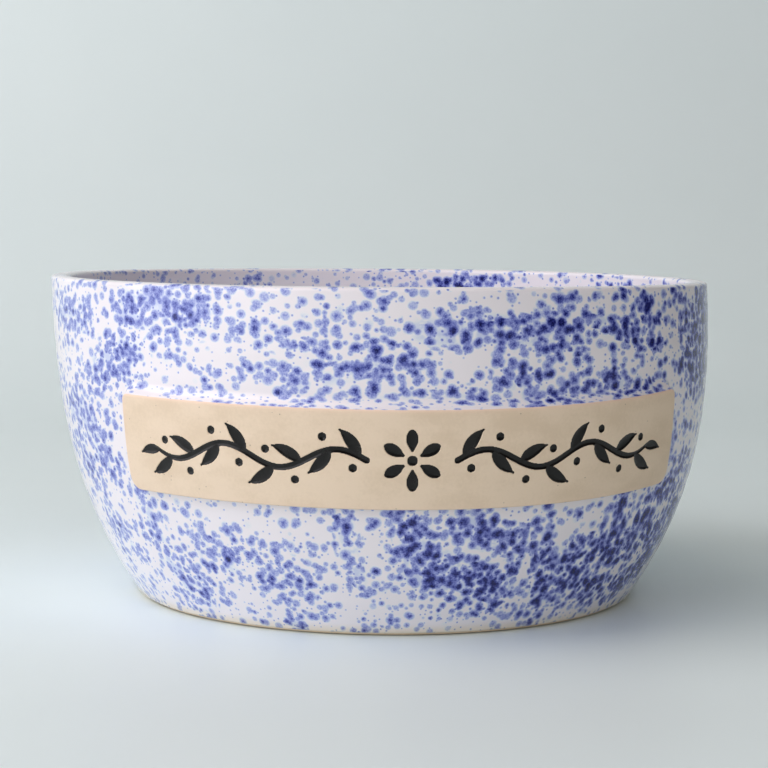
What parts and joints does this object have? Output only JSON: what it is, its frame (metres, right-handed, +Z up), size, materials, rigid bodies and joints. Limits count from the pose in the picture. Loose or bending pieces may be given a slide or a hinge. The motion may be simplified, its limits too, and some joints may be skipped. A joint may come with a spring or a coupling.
{
  "type": "stoneware snack bowl",
  "caption": "Round stoneware bowl for crisps, with a rounded lip, a flat foot, a spattered glaze and a long curved strip of bare clay on its front wall.",
  "frame": {"origin": "under the middle of the lip, on the table", "axes": "+Z up through the bowl's mouth; -Y out of the middle of the clay panel; +X to the right seen from the front"},
  "size_m": [0.2206, 0.222, 0.106],
  "materials": {
    "spattered_glaze": "gloss",
    "bare_clay": "matte",
    "black_glaze": "gloss"
  },
  "bodies": {
    "root": {"bowl": "spattered_glaze", "panel": "bare_clay"}
  },
  "joints": []
}
